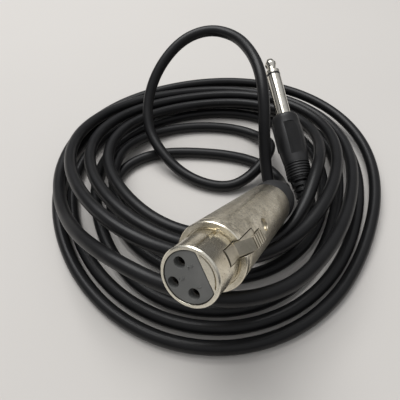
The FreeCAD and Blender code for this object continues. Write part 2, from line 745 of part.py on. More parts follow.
def jack_grip():
    """Oval body from the rings to the seam."""
    root = RINGS_R * 2
    sections = [(root + 0.02, root - 0.6, RINGS_TO), (HANDLE_W - 1.0, HANDLE_T - 0.4, RINGS_TO + 2.8),
                (HANDLE_W, HANDLE_T, RINGS_TO + SWELL_L),
                (HANDLE_W, HANDLE_T, SEAM - TAPER_L - 4),
                (HANDLE_W - 0.4, HANDLE_T - 0.2, SEAM - TAPER_L),
                (HANDLE_FRONT_W, HANDLE_FRONT_T, SEAM - FRONT_EDGE),
                (HANDLE_FRONT_W - 0.6, HANDLE_FRONT_T - 0.6, SEAM)]
    return Part.makeLoft([oval_ring(w, t, z) for w, t, z in sections], True, False)


def jack_ridges():
    ridges = []
    for side in (0, 180):
        x0 = HANDLE_W / 2 - 1.6
        top = SEAM - RIDGE_SET
        ridge = block(x0, HANDLE_W / 2 + RIDGE_H, -RIDGE_W / 2, RIDGE_W / 2, top - RIDGE_L, top)
        edges = [e for e in ridge.Edges if e.BoundBox.XMin > x0 + 1]
        ridge = ridge.makeChamfer(RIDGE_CHAMFER, edges)
        ridge.rotate(V(0, 0, 0), V(0, 0, 1), side)
        ridges.append(ridge)
    return ridges


def jack_tail():
    """Round tail with its raised rings."""
    pitch = (RINGS_TO - RINGS_FROM) / RINGS_COUNT
    outline = [(CABLE_D / 2, 0), (RELIEF_END_R, 0), (RELIEF_R, RINGS_FROM)]
    for i in range(RINGS_COUNT):
        z = RINGS_FROM + pitch * i
        outline += [(RINGS_ROOT_R, z), (RINGS_ROOT_R, z + 0.35 * pitch),
                    (RINGS_R, z + 0.5 * pitch), (RINGS_R, z + 0.85 * pitch)]
    outline += [(RINGS_ROOT_R, RINGS_TO), (RINGS_ROOT_R, RINGS_TO + 1),
                (CABLE_D / 2, RINGS_TO + 1)]
    return turned(outline)


def relief_slots():
    """Slots round the tail, each left uncut at two sides that turn by 90 degrees."""
    slots = []
    wall = CABLE_D / 2 + RELIEF_WALL
    gap = (RINGS_FROM - 1.0) / RELIEF_SLOTS
    for i in range(RELIEF_SLOTS):
        z = 1.2 + gap * i
        ring = cylinder(RELIEF_R + 1, z, z + RELIEF_SLOT_W).cut(cylinder(wall, z - 1, z + 3))
        bridge = block(-RELIEF_R - 2, RELIEF_R + 2, -1.0, 1.0, z - 1, z + 3)
        bridge.rotate(V(0, 0, 0), V(0, 0, 1), 90 * (i % 2))
        slots.append(ring.cut(bridge))
    return slots


def jack_handle():
    body = jack_grip().fuse(jack_ridges() + [jack_tail()]).removeSplitter()
    cavity = JACKET_IN - CRIMP_L - CRIMP_GAP
    cuts = [cylinder(CABLE_D / 2, -1, cavity + 1), cylinder(CAVITY_R, cavity, SEAM - SHOULDER_SEAT),
            cylinder(SHOULDER_R, SEAM - SHOULDER_SEAT, SEAM + 2)]
    top = HANDLE_T / 2 - PANEL_DEPTH
    half = PANEL_W / 2
    end = SEAM - PANEL_SET
    start = end - PANEL_L + half
    panel = block(-half, half, top, top + 3, start, end)
    panel = panel.fuse(Part.makeCylinder(half, 3, V(0, top, start), V(0, 1, 0)))
    cuts += [panel, panel.mirror(V(0, 0, 0), V(0, 1, 0))]
    return body.cut(cuts + relief_slots())


def jack_core():
    end = NECK_REAR - WASHER_T - LUG_T
    y = -ROD_R - 0.45 - LUG_T / 2 - CORE_D / 2
    return core_wire([(0, -0.9, JACKET_IN), (0, -0.9, JACKET_IN + WIRE_START_L),
                      (0, y, JACKET_IN + WIRE_BEND_L), (0, y, end - 0.2)], CORE_D)


def jack_shield_tail():
    y = NECK_R + CRIMP_WALL - 0.15 - SHIELD_D / 2
    return core_wire([(0, 1.4, JACKET_IN), (0, 1.4, JACKET_IN + WIRE_START_L),
                      (0, y, JACKET_IN + WIRE_BEND_L), (0, y, NECK_REAR - TAIL_SHORT)], SHIELD_D)


def main():
    os.makedirs("parts", exist_ok=True)
    xlr_axes = axes_of(XLR_HEADING, XLR_TILT, XLR_ROLL)
    jack_axes = axes_of(JACK_HEADING, JACK_TILT, JACK_ROLL)
    plug = {
        "xlr_shell": xlr_shell(), "xlr_insert": xlr_insert(),
        "xlr_contact_1": xlr_contact(0), "xlr_contact_2": xlr_contact(1),
        "xlr_contact_3": xlr_contact(2), "xlr_latch": xlr_latch(),
        "xlr_latch_pin": xlr_latch_pin(), "xlr_latch_spring": xlr_latch_spring(),
        "xlr_insert_screw": xlr_insert_screw(),
        "xlr_ground_tag": xlr_ground_tag(), "xlr_cable_clamp": xlr_cable_clamp(),
        "xlr_boot": xlr_boot(),
        "xlr_cable_end": cylinder(CABLE_D / 2, -BOOT_L, JACKET_STOP),
        "xlr_shield_tail": xlr_core(0, (0.2, -1.5)), "xlr_core_hot": xlr_core(1, (0.2, 1.4)),
        "xlr_core_cold": xlr_core(2, (-1.3, 0.0)),
    }
    jack = {
        "jack_tip": jack_tip(), "jack_insulator": jack_insulator(), "jack_sleeve": jack_sleeve(),
        "jack_rear_washer": jack_rear_washer(), "jack_tip_lug": jack_tip_lug(),
        "jack_sleeve_lug": jack_sleeve_lug(), "jack_handle": jack_handle(),
        "jack_cable_end": cylinder(CABLE_D / 2, 0, JACKET_IN),
        "jack_core": jack_core(), "jack_shield_tail": jack_shield_tail(),
    }
    nodes = {}
    for name, shape in plug.items():
        nodes[name] = placed(shape, XLR_REAR, xlr_axes)
    for name, shape in jack.items():
        nodes[name] = placed(shape, JACK_REAR, jack_axes)

    wire, radii = coil_wire()
    print("coil: length %.0f, tightest arc %.1f" % (wire.Length, min(radii)))
    coil_samples = sample(wire, 2.0)
    gap, where = own_gap(coil_samples, CABLE_D, 6 * CABLE_D)
    print("coil: least gap to itself %.2f at (%.1f, %.1f, %.1f)" % (gap, where.x, where.y, where.z))
    first, last = coil_ends()
    coil = tube(wire, CABLE_D, first, coil_heading(TURN_START))
    floor = Part.makeBox(600, 600, 50, V(-300, -300, -50))
    nodes["cable_coil"] = coil.cut(floor)

    exit_x = local_to_world((0, 0, -BOOT_L), XLR_REAR, xlr_axes)
    back_x = xlr_axes[2] * -1
    lead_a = [exit_x, exit_x + back_x * XLR_EXIT_RUN] + list(LEAD_XLR_ROUTE)
    lead_a += [first - coil_heading(TURN_START) * COIL_EXIT_RUN, first]
    exit_j = V(*JACK_REAR)
    lead_b = [last, last + coil_heading(TURN_END) * COIL_EXIT_RUN] + list(LEAD_JACK_ROUTE)
    lead_b += [exit_j - jack_axes[2] * JACK_EXIT_RUN, exit_j]
    tracks = {"cable_coil": coil_samples}
    for name, route in (("cable_lead_xlr", lead_a), ("cable_lead_jack", lead_b)):
        route = [V(*p) for p in route]
        track, bends = lead_wire(route)
        tracks[name] = sample(track, 2.0)
        own, where = own_gap(tracks[name], CABLE_D, 5 * CABLE_D)
        shape = tube(track, CABLE_D, route[0], route[1] - route[0])
        nodes[name] = shape
        share = shape.Volume / (track.Length * pi * CABLE_D ** 2 / 4)
        print("%s: length %.0f, volume / section x length %.4f, own gap %.2f at (%.1f, %.1f, %.1f)"
              % (name, track.Length, share, own, where.x, where.y, where.z))
        print("  bend radii", " ".join("%.1f" % r for r in bends))
        print("  lowest point %.2f" % shape.optimalBoundingBox(False).ZMin)
    pairs = (("cable_coil", "cable_lead_xlr", 40, 12), ("cable_coil", "cable_lead_jack", 12, 12),
             ("cable_lead_xlr", "cable_lead_jack", 0, 0))
    for one, two, skip_a, skip_b in pairs:
        a = tracks[one][skip_a:len(tracks[one]) - skip_a]
        b = tracks[two][skip_b:len(tracks[two]) - skip_b]
        gap, where = gap_between(a, b, CABLE_D, CABLE_D)
        print("%s to %s: %.2f at (%.1f, %.1f, %.1f)" % (one, two, gap, where.x, where.y, where.z))

    box = FreeCAD.BoundBox()
    for shape in nodes.values():
        box.add(shape.optimalBoundingBox(False))
    shift = V(-round((box.XMin + box.XMax) / 2, 1), -round((box.YMin + box.YMax) / 2, 1), 0)
    print("coil centre from the origin (%.1f, %.1f)" % (shift.x, shift.y))
    print("outline %.1f x %.1f x %.1f, lowest %.3f" % (box.XLength, box.YLength, box.ZLength, box.ZMin))
    for name, shape in nodes.items():
        if not shape.isValid():
            print("not valid:", name)
        if len(shape.Solids) != 1:
            print("solids in %s: %d" % (name, len(shape.Solids)))
        shape = shape.Solids[0] if shape.Solids else shape
        shape = shape.copy()
        shape.translate(shift)
        shape.exportStep("parts/%s.step" % name)


if __name__ == "__main__":
    main()
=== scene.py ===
"""Dresses the coiled audio cable: its jacket, socket plug, jack plug, floor, light and camera."""

import logging
import math
from dataclasses import dataclass, field
from enum import Enum
from typing import Sequence

import bmesh
import bpy
from mathutils import Matrix, Vector


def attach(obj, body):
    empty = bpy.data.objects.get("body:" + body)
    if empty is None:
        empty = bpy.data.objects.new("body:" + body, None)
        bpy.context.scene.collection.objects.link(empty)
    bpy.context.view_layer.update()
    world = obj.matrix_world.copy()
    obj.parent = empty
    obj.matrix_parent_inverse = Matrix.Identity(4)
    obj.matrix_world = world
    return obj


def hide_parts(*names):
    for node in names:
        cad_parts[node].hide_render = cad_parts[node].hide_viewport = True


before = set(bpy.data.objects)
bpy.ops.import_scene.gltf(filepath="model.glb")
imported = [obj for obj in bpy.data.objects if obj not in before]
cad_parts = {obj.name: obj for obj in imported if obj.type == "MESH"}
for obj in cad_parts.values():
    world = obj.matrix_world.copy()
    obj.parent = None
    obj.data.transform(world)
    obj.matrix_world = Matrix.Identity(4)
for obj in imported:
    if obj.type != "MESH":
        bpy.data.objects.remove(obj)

LOG = logging.getLogger("audio_cable")
MM = 0.001
# Points of a plug's mesh closer than this, in its own millimetres, become one.
WELD = 0.0005

# The coil's centre, from the row frame's origin, in millimetres.
COIL_CENTRE = Vector((-2.2, 6.4, 0.0))


class Lay(Enum):
    """How a free cable lies."""

    COILED = "coiled"
    LOOSE = "loose"


# Shader graphs.


class Sock:
    """One output of a shader node, with arithmetic that adds Math nodes."""

    def __init__(self, graph: "Graph", socket: bpy.types.NodeSocket) -> None:
        """Keeps the socket.

        Args:
            graph: The graph that the socket belongs to.
            socket: The output that is wrapped.
        """
        self.graph = graph
        self.socket = socket

    def _math(self, operation: str, *values: "Sock | float") -> "Sock":
        """Adds one Math node.

        Args:
            operation: Name of the node's operation.
            values: The node's inputs in order.

        Returns:
            The node's output.
        """
        return self.graph.node("ShaderNodeMath", {"operation": operation}, dict(enumerate(values)))

    def __add__(self, other: "Sock | float") -> "Sock":
        """Returns the sum."""
        return self._math("ADD", self, other)

    def __radd__(self, other: float) -> "Sock":
        """Returns the sum."""
        return self._math("ADD", other, self)

    def __sub__(self, other: "Sock | float") -> "Sock":
        """Returns the difference."""
        return self._math("SUBTRACT", self, other)

    def __rsub__(self, other: float) -> "Sock":
        """Returns the difference, this one taken off."""
        return self._math("SUBTRACT", other, self)

    def __mul__(self, other: "Sock | float") -> "Sock":
        """Returns the product."""
        return self._math("MULTIPLY", self, other)

    def above(self, low: float, high: float) -> "Sock":
        """Maps a range onto 0 to 1.

        Args:
            low: Value where the result leaves 0.
            high: Value where the result reaches 1.

        Returns:
            0 under low, 1 over high and an even rise between them.
        """
        return self.graph.node(
            "ShaderNodeMapRange", {"clamp": True},
            {"Value": self, "From Min": low, "From Max": high, "To Min": 0.0, "To Max": 1.0})

    def between(self, low: float, high: float, soft: float) -> "Sock":
        """Picks out a range with soft ends.

        Args:
            low: Lower end.
            high: Upper end.
            soft: Width of each end.

        Returns:
            1 between the two values and 0 outside.
        """
        return self.above(low - soft, low) * (1 - self.above(high, high + soft))

    def size(self) -> "Sock":
        """Returns the absolute value."""
        return self._math("ABSOLUTE", self)

    def wave(self) -> "Sock":
        """Returns the sine."""
        return self._math("SINE", self)


Colour = tuple[float, float, float]
Span = tuple[float, float]


@dataclass(frozen=True)
class Waves:
    """A noise: waves per metre, octaves, and the share of each finer octave."""

    scale: float
    detail: float = 3.0
    rough: float = 0.5


class Graph:
    """The nodes of one material."""

    def __init__(self, name: str) -> None:
        """Makes a material with an empty graph and a Principled shader.

        Args:
            name: The material's name.
        """
        self.material = bpy.data.materials.new(name)
        self.material.use_nodes = True
        self.tree = self.material.node_tree
        self.tree.nodes.clear()
        self.out = self.tree.nodes.new("ShaderNodeOutputMaterial")
        self.shader = self.tree.nodes.new("ShaderNodeBsdfPrincipled")
        self.tree.links.new(self.shader.outputs[0], self.out.inputs[0])

    def node(self, kind: str, settings: dict[str, object] | None = None,
             inputs: dict[object, object] | None = None, output: int | str = 0) -> Sock:
        """Adds a node.

        Args:
            kind: The node's type.
            settings: Properties, set first.
            inputs: Values or Socks by input name or index.
            output: Which output is returned.

        Returns:
            The output asked for.
        """
        made = self.tree.nodes.new(kind)
        for key, value in (settings or {}).items():
            setattr(made, key, value)
        for key, value in (inputs or {}).items():
            if isinstance(value, Sock):
                self.tree.links.new(value.socket, made.inputs[key])
            else:
                made.inputs[key].default_value = value
        return Sock(self, made.outputs[output])

    def place(self) -> Sock:
        """Returns the Object coordinates, in row metres."""
        return self.node("ShaderNodeTexCoord", output="Object")

    def along(self, where: Sock, axis: Sequence[float]) -> Sock:
        """Measures along an axis.

        Args:
            where: Coordinates.
            axis: The axis, whose length scales the result.

        Returns:
            How far each point lies along it.
        """
        return self.node("ShaderNodeVectorMath", {"operation": "DOT_PRODUCT"},
                         {0: where, 1: tuple(axis)}, "Value")

    def local(self, matrix: Matrix) -> tuple[Sock, Sock, Sock]:
        """Finds a point's place on a plug.

        Args:
            matrix: Matrix from the plug's own millimetres to row metres.

        Returns:
            The three coordinates in the plug's own millimetres.
        """
        where = self.place()
        x, y, z = (self.along(where, row[:3]) + row[3] for row in matrix.inverted()[:3])
        return x, y, z

    def noise(self, where: Sock, waves: Waves) -> Sock:
        """Adds a noise.

        Args:
            where: Coordinates.
            waves: Its scale and octaves.

        Returns:
            The noise, from 0 to 1.
        """
        return self.node("ShaderNodeTexNoise", {},
                         {"Vector": where, "Scale": waves.scale, "Detail": waves.detail,
                          "Roughness": waves.rough})

    def cells(self, where: Sock, scale: float) -> Sock:
        """Adds a scatter of cells.

        Args:
            where: Coordinates.
            scale: Cells per metre.

        Returns:
            The distance to the nearest cell's middle, in cells.
        """
        return self.node("ShaderNodeTexVoronoi", {}, {"Vector": where, "Scale": scale})

    def mix(self, share: Sock, first: Sock | Colour, second: Sock | Colour) -> Sock:
        """Mixes two colours.

        Args:
            share: 0 gives the first and 1 the second.
            first: Colour or output.
            second: Colour or output.

        Returns:
            The colour between them.
        """
        ends = [c if isinstance(c, Sock) else (*c, 1.0) for c in (first, second)]
        return self.node("ShaderNodeMix", {"data_type": "RGBA", "clamp_factor": True},
                         {0: share, 6: ends[0], 7: ends[1]}, 2)

    def bump(self, height: Sock, depth: float, strength: float = 1.0,
             normal: Sock | None = None) -> Sock:
        """Adds a bump.

        Args:
            height: Height from 0 to 1.
            depth: Size of a full step in metres.
            strength: Share of the effect.
            normal: A normal to start from.

        Returns:
            The bumped normal.
        """
        inputs: dict[object, object] = {"Height": height, "Distance": depth, "Strength": strength}
        if normal is not None:
            inputs["Normal"] = normal
        return self.node("ShaderNodeBump", {}, inputs)

    def soft_edge(self, radius: float) -> Sock:
        """Returns the normal with edges rounded by that radius in metres."""
        return self.node("ShaderNodeBevel", {"samples": 6}, {"Radius": radius})

    def set(self, **values: object) -> bpy.types.Material:
        """Sets or links inputs of the shader.

        Args:
            values: Values or Socks by input name, with underscores for spaces.

        Returns:
            The material.
        """
        for key, value in values.items():
            name = key.replace("_", " ")
            if isinstance(value, Sock):
                self.tree.links.new(value.socket, self.shader.inputs[name])
            elif isinstance(value, tuple) and len(value) == 3:
                self.shader.inputs[name].default_value = (*value, 1.0)
            else:
                self.shader.inputs[name].default_value = value
        return self.material


# Finishes.


@dataclass(frozen=True)
class JacketFinish:
    """Soft black jacket with a low sheen, fine rubbed marks and a little dust."""

    name: str = "cable_jacket"
    colour: Colour = (0.0055, 0.0055, 0.006)
    worn: Colour = (0.010, 0.010, 0.0105)
    worn_span: Span = (0.35, 0.75)
    dust: Colour = (0.12, 0.12, 0.115)
    dust_share: float = 0.7
    roughness: float = 0.28
    patch_rough: float = 0.16
    fine_rough: float = 0.1
    shine: float = 0.3
    patches: Waves = Waves(55.0, 4.0, 0.6)
    fine: Waves = Waves(900.0, 3.0, 0.6)
    swells: Waves = Waves(240.0, 2.0)
    speck_scale: float = 260.0
    speck_span: Span = (0.035, 0.06)
    rare: Waves = Waves(120.0, 2.0)
    rare_span: Span = (0.56, 0.6)
    depth: float = 0.00006
    strength: float = 0.8

    def make(self) -> bpy.types.Material:
        """Makes the material.

        Returns:
            The material.
        """
        g = Graph(self.name)
        where = g.place()
        patches = g.noise(where, self.patches)
        fine = g.noise(where, self.fine)
        specks = 1 - g.cells(where, self.speck_scale).above(*self.speck_span)
        rare = g.noise(where, self.rare).above(*self.rare_span)
        base = g.mix(patches.above(*self.worn_span), self.colour, self.worn)
        base = g.mix(specks * rare * self.dust_share, base, self.dust)
        rough = self.roughness + patches * self.patch_rough + (fine - 0.5) * self.fine_rough
        height = fine * 0.5 + g.noise(where, self.swells) * 0.5
        normal = g.bump(height, self.depth, self.strength)
        return g.set(Base_Color=base, Roughness=rough, Normal=normal,
                     Specular_IOR_Level=self.shine)


@dataclass(frozen=True)
class WornNickel:
    """Nickel plate on a cast piece, pitted, dulled and rubbed."""

    name: str = "worn_nickel"
    colour: Colour = (0.88, 0.82, 0.68)
    dull: Colour = (0.66, 0.60, 0.47)
    dull_span: Span = (0.34, 0.62)
    # Colour of the pits; the shell also uses it for the painted reflection of the dark cable near
    # its boot end.
    pit_and_shade: Colour = (0.14, 0.12, 0.09)
    pits: float = 1.0
    pit_share: float = 0.7
    pit_scale: float = 1700.0
    pit_span: Span = (0.18, 0.34)
    pitted: Waves = Waves(420.0)
    pitted_span: Span = (0.5, 0.62)
    roughness: float = 0.17
    dull_rough: float = 0.14
    fine_rough: float = 0.12
    pit_rough: float = 0.2
    clouds: Waves = Waves(240.0, 4.0, 0.6)
    fine: Waves = Waves(2200.0, 3.0, 0.6)
    fine_height: float = 0.6
    cloud_height: float = 0.3
    pit_height: float = 0.5
    depth: float = 0.00004
    strength: float = 0.7
    edge: float = 0.00022

    def zones(self, g: Graph, where: Sock, base: Sock, rough: Sock,
              height: Sock) -> tuple[Sock, Sock, Sock]:
        """Changes nothing; a piece with zones of its own changes them here.

        Args:
            g: The material's graph.
            where: Coordinates.
            base: The plate's colour.
            rough: Its roughness.
            height: Its bump height.

        Returns:
            The colour, roughness and height.
        """
        return base, rough, height

    def make(self) -> bpy.types.Material:
        """Makes the material.

        Returns:
            The material.
        """
        g = Graph(self.name)
        where = g.place()
        clouds = g.noise(where, self.clouds)
        fine = g.noise(where, self.fine)
        holes = 1 - g.cells(where, self.pit_scale).above(*self.pit_span)
        holes = holes * g.noise(where, self.pitted).above(*self.pitted_span) * self.pits
        base = g.mix(clouds.above(*self.dull_span), self.dull, self.colour)
        base = g.mix(holes * self.pit_share, base, self.pit_and_shade)
        rough = self.roughness + (1 - clouds) * self.dull_rough
        rough = rough + fine * self.fine_rough + holes * self.pit_rough
        height = fine * self.fine_height + clouds * self.cloud_height - holes * self.pit_height
        base, rough, height = self.zones(g, where, base, rough, height)
        normal = g.bump(height, self.depth, self.strength, g.soft_edge(self.edge))
        return g.set(Base_Color=base, Roughness=rough, Metallic=1.0, Normal=normal)


@dataclass(frozen=True)
class ShellNickel(WornNickel):
    """The shell's plate: mottled body, rough shoulder, smoother nose, bright rim, and a rear end
    darkened with a painted reflection of the dark cable.

    The zones are spans along the plug's own axis, in millimetres.
    """

    matrix: Matrix = field(default_factory=Matrix)
    bright: Colour = (0.84, 0.80, 0.68)
    rim: Span = (60.1, 60.4)
    shoulder: Span = (44.9, 46.6)
    blend: float = 0.2
    # The rear span and its share paint a dark reflection of the cable over the shell's end near the
    # boot.
    rear: Span = (0.0, 16.0)
    painted_reflection_share: float = 0.3
    mottle: Waves = Waves(1400.0, 3.0, 0.7)
    mottle_span: Span = (0.42, 0.62)
    mottle_share: float = 0.36
    nose_clear: float = 0.75
    shoulder_share: float = 0.2
    nose_smooth: float = 0.07
    rim_smooth: float = 0.02
    shoulder_rough: float = 0.2
    body_height: float = 1.1
    nose_flat: float = 0.7
    mottle_height: float = 0.4
    mottle_clear: float = 0.8

    def zones(self, g: Graph, where: Sock, base: Sock, rough: Sock,
              height: Sock) -> tuple[Sock, Sock, Sock]:
        """Changes the plate zone by zone.

        Args:
            g: The material's graph.
            where: Coordinates.
            base: The plate's colour.
            rough: Its roughness.
            height: Its bump height.

        Returns:
            The colour, roughness and height.
        """
        z = g.local(self.matrix)[2]
        rim = z.above(*self.rim)
        nose = z.above(self.shoulder[1], self.shoulder[1] + self.blend)
        ring = z.between(*self.shoulder, self.blend)
        mottle = g.noise(where, self.mottle).above(*self.mottle_span)
        body = 1 - nose * self.nose_clear
        base = g.mix(rim, base, self.bright)
        base = g.mix(body * mottle * self.mottle_share + ring * mottle * self.shoulder_share,
                     base, self.pit_and_shade)
        # Painted reflection: the shell is darkened towards its boot end to stand in for the dark
        # cable that it reflects there.
        base = g.mix((1 - z.above(*self.rear)) * self.painted_reflection_share, base, self.pit_and_shade)
        rough = rough - nose * self.nose_smooth - rim * self.rim_smooth
        rough = rough + ring * self.shoulder_rough
        height = height * (self.body_height - nose * self.nose_flat)
        height = height + (1 - nose * self.mottle_clear) * mottle * self.mottle_height
        return base, rough, height


@dataclass(frozen=True)
class MouldedPlastic:
    """Moulded plastic or rubber with a fine spark-eroded texture."""

    name: str
    colour: Colour
    scuff: Colour
    roughness: float = 0.5
    scuff_span: Span = (0.45, 0.8)
    cloud_rough: float = 0.2
    fine_rough: float = 0.12
    clouds: Waves = Waves(160.0, 4.0, 0.6)
    fine: Waves = Waves(2600.0, 3.0, 0.55)
    depth: float = 0.00004
    strength: float = 0.8
    edge: float = 0.0002

    def relief(self, g: Graph, rough: Sock, normal: Sock) -> tuple[Sock, Sock]:
        """Changes nothing; a piece with a pattern of its own adds it here.

        Args:
            g: The material's graph.
            rough: The plastic's roughness.
            normal: Its sparked normal.

        Returns:
            The roughness and the normal.
        """
        return rough, normal

    def make(self) -> bpy.types.Material:
        """Makes the material.

        Returns:
            The material.
        """
        g = Graph(self.name)
        where = g.place()
        clouds = g.noise(where, self.clouds)
        fine = g.noise(where, self.fine)
        base = g.mix(clouds.above(*self.scuff_span), self.colour, self.scuff)
        rough = self.roughness + (clouds - 0.5) * self.cloud_rough
        rough = rough + (fine - 0.5) * self.fine_rough
        normal = g.bump(fine, self.depth, self.strength, g.soft_edge(self.edge))
        rough, normal = self.relief(g, rough, normal)
        return g.set(Base_Color=base, Roughness=rough, Normal=normal)


@dataclass(frozen=True)
class GripPlastic(MouldedPlastic):
    """The jack handle's plastic, cross-hatched in its two panels.

    The panels and the hatch are in the jack's own millimetres.
    """

    matrix: Matrix = field(default_factory=Matrix)
    panel: Span = (23.4, 38.1)
    panel_end: float = 0.2
    panel_half: Span = (2.7, 3.0)
    panel_face: Span = (3.9, 4.1)
    hatch: float = 0.95
    hatch_rough: float = 0.12
    hatch_depth: float = 0.00022

    def relief(self, g: Graph, rough: Sock, normal: Sock) -> tuple[Sock, Sock]:
        """Adds the hatch in the panels.

        Args:
            g: The material's graph.
            rough: The plastic's roughness.
            normal: Its sparked normal.

        Returns:
            The roughness and the normal.
        """
        x, y, z = g.local(self.matrix)
        step = math.tau / self.hatch
        hatch = ((x + z) * step).wave() * ((x - z) * step).wave()
        inside = z.between(*self.panel, self.panel_end) * (1 - x.size().above(*self.panel_half))
        inside = inside * y.size().above(*self.panel_face)
        normal = g.bump(hatch * inside, self.hatch_depth, normal=normal)
        return rough + inside * self.hatch_rough, normal


@dataclass(frozen=True)
class TurnedNickel:
    """Bright nickel on a turned shaft, with fine rings and rubbed patches."""

    name: str
    axis: Vector
    colour: Colour = (0.86, 0.83, 0.76)
    rubbed: Colour = (0.68, 0.65, 0.57)
    rubbed_span: Span = (0.42, 0.7)
    roughness: float = 0.10
    rubbed_rough: float = 0.12
    ring_rough: float = 0.1
    clouds: Waves = Waves(210.0, 4.0, 0.6)
    fine: Waves = Waves(900.0)
    rings: Waves = Waves(5200.0)
    ring_height: float = 0.6
    fine_height: float = 0.4
    depth: float = 0.00003
    strength: float = 0.6
    edge: float = 0.0001

    def make(self) -> bpy.types.Material:
        """Makes the material.

        Returns:
            The material.
        """
        g = Graph(self.name)
        where = g.place()
        rings = g.node("ShaderNodeTexNoise", {"noise_dimensions": "1D"},
                       {"W": g.along(where, self.axis), "Scale": self.rings.scale,
                        "Detail": self.rings.detail})
        clouds = g.noise(where, self.clouds)
        base = g.mix(clouds.above(*self.rubbed_span), self.rubbed, self.colour)
        rough = self.roughness + (1 - clouds) * self.rubbed_rough
        rough = rough + (rings - 0.5) * self.ring_rough
        height = rings * self.ring_height + g.noise(where, self.fine) * self.fine_height
        normal = g.bump(height, self.depth, self.strength, g.soft_edge(self.edge))
        return g.set(Base_Color=base, Roughness=rough, Metallic=1.0, Normal=normal)


@dataclass(frozen=True)
class PlainMetal:
    """Small hidden metal piece with a brushed or stranded look."""

    name: str
    colour: Colour
    shade: Colour
    roughness: float = 0.35
    streaks: Waves = Waves(1500.0, 3.0, 0.6)
    shade_span: Span = (0.4, 0.65)
    streak_rough: float = 0.2
    depth: float = 0.00004
    strength: float = 0.6
    edge: float = 0.0001

    def make(self) -> bpy.types.Material:
        """Makes the material.

        Returns:
            The material.
        """
        g = Graph(self.name)
        streaks = g.noise(g.place(), self.streaks)
        base = g.mix(streaks.above(*self.shade_span), self.shade, self.colour)
        rough = self.roughness + (streaks - 0.5) * self.streak_rough
        normal = g.bump(streaks, self.depth, self.strength, g.soft_edge(self.edge))
        return g.set(Base_Color=base, Roughness=rough, Metallic=1.0, Normal=normal)


def dress(node: str, material: bpy.types.Material) -> None:
    """Gives a carried-over node one material.

    Args:
        node: The node's name.
        material: The material.
    """
    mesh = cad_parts[node].data
    mesh.materials.clear()
    mesh.materials.append(material)


# Placing pieces.


@dataclass(frozen=True)
class PlugPose:
    """Where a plug lies: its rear end in millimetres, and its heading, tilt and roll in degrees."""

    rear: tuple[float, float, float]
    heading: float
    tilt: float
    roll: float = 0.0

    def matrix(self) -> Matrix:
        """Places the plug.

        Returns:
            The matrix from the plug's own millimetres to row metres.
        """
        h, t, r = (math.radians(v) for v in (self.heading, self.tilt, self.roll))
        nose = Vector((math.cos(t) * math.cos(h), math.cos(t) * math.sin(h), math.sin(t)))
        side = Vector((math.sin(h), -math.cos(h), 0.0))
        top = Vector((-math.sin(t) * math.cos(h), -math.sin(t) * math.sin(h), math.cos(t)))
        x = top * math.cos(r) - side * math.sin(r)
        y = nose.cross(x)
        turn = Matrix((x, y, nose)).transposed().to_4x4()
        origin = (Vector(self.rear) + COIL_CENTRE) * MM
        return Matrix.Translation(origin) @ turn @ Matrix.Scale(MM, 4)


SOCKET_POSE = PlugPose((18.4, -38.2, 24.4), -119.9, 27.0, 47.7)
JACK_POSE = PlugPose((38.8, -25.3, 8.8), 101.1, 26.0, 90.0)


def piece_from(bm: bmesh.types.BMesh, name: str, where: Matrix, body: str,
               material: bpy.types.Material) -> bpy.types.Object:
    """Turns a bmesh in a plug's own millimetres into a finished piece.

    Args:
        bm: The shape; it is freed.
        name: The piece's name.
        where: Matrix to row metres.
        body: The body that it rides on.
        material: Its material.

    Returns:
        The object.
    """
    bmesh.ops.transform(bm, matrix=where, verts=bm.verts)
    bmesh.ops.recalc_face_normals(bm, faces=bm.faces)
    mesh = bpy.data.meshes.new(name)
    bm.to_mesh(mesh)
    bm.free()
    mesh.shade_smooth()
    piece = bpy.data.objects.new(name, mesh)
    bpy.context.scene.collection.objects.link(piece)
    mesh.materials.append(material)
    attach(piece, body)
    LOG.info("%s: %d faces", name, len(mesh.polygons))
    return piece


def lathe(profile: Sequence[tuple[float, float]], steps: int) -> bmesh.types.BMesh:
    """Spins (radius, z) points round z into a closed skin.

    Args:
        profile: Points in order; the first and last may lie on the axis.
        steps: Steps in a full turn.

    Returns:
        The shape.
    """
    bm = bmesh.new()
    ring = [bm.verts.new((r, 0.0, z)) for r, z in profile]
    edges = [bm.edges.new(pair) for pair in zip(ring, ring[1:])]
    bmesh.ops.spin(bm, geom=ring + edges, cent=(0, 0, 0), axis=(0, 0, 1), angle=math.tau,
                   steps=steps, use_merge=True)
    bmesh.ops.remove_doubles(bm, verts=bm.verts, dist=WELD)
    return bm


# The cable.


